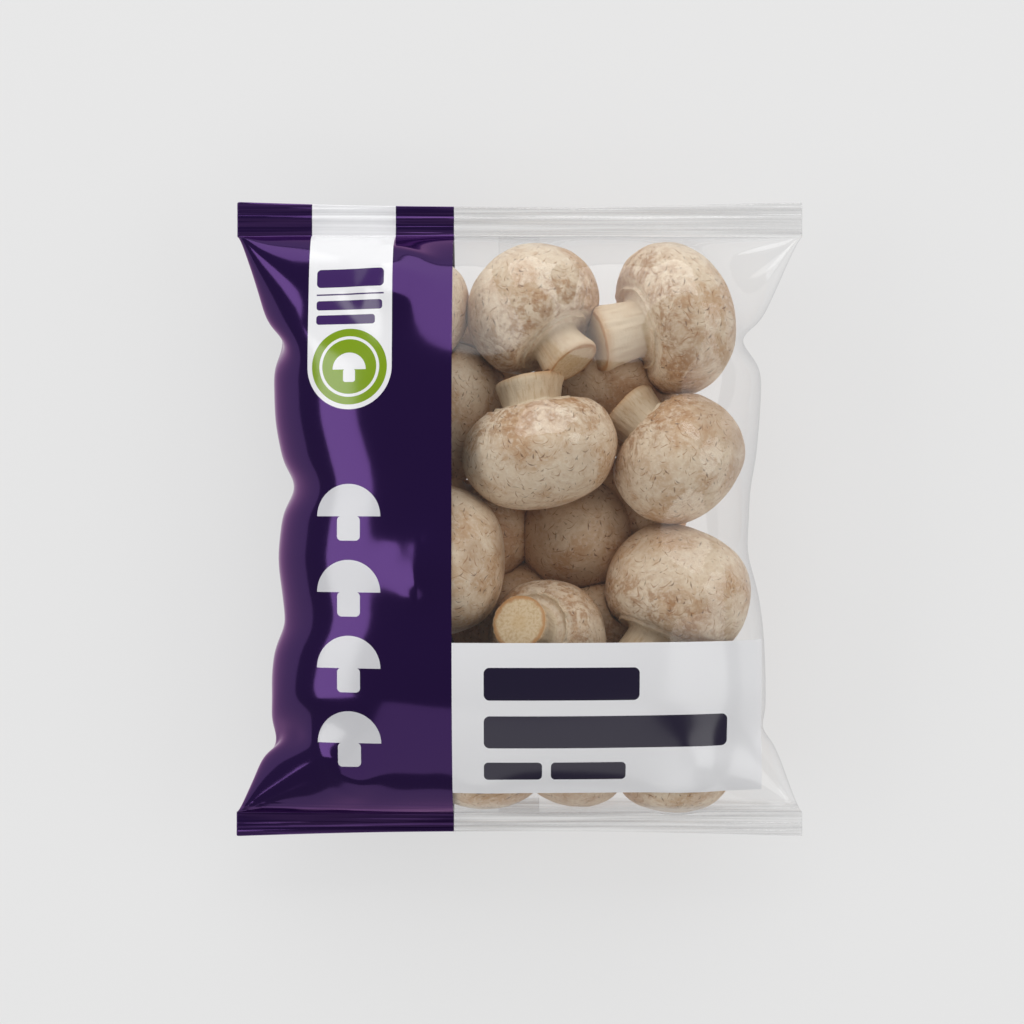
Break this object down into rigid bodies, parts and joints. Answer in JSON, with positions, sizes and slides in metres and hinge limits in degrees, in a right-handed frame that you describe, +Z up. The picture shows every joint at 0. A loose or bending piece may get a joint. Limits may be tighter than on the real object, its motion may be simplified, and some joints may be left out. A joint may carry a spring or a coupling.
{
  "type": "bag of button mushrooms",
  "caption": "Heat-sealed pillow bag of half printed, half clear film, filled with closed-cap white button mushrooms, lying on its back.",
  "frame": {"origin": "centre of the bag's outline on the surface it rests on", "axes": "+X towards the clear side of the front, +Y towards the top seal, +Z up out of the bag's printed front"},
  "size_m": [0.1594, 0.1776, 0.0633],
  "materials": {
    "film": "gloss",
    "mushroom": "matte"
  },
  "bodies": {
    "root": {"film_bag": "film", "mushroom_01": "mushroom", "mushroom_02": "mushroom", "mushroom_03": "mushroom", "mushroom_04": "mushroom", "mushroom_05": "mushroom", "mushroom_06": "mushroom", "mushroom_07": "mushroom", "mushroom_08": "mushroom", "mushroom_09": "mushroom", "mushroom_10": "mushroom", "mushroom_11": "mushroom", "mushroom_12": "mushroom", "mushroom_13": "mushroom", "mushroom_14": "mushroom", "mushroom_15": "mushroom", "mushroom_16": "mushroom", "mushroom_17": "mushroom", "mushroom_18": "mushroom", "mushroom_19": "mushroom", "mushroom_20": "mushroom", "mushroom_21": "mushroom", "mushroom_22": "mushroom"}
  },
  "joints": []
}
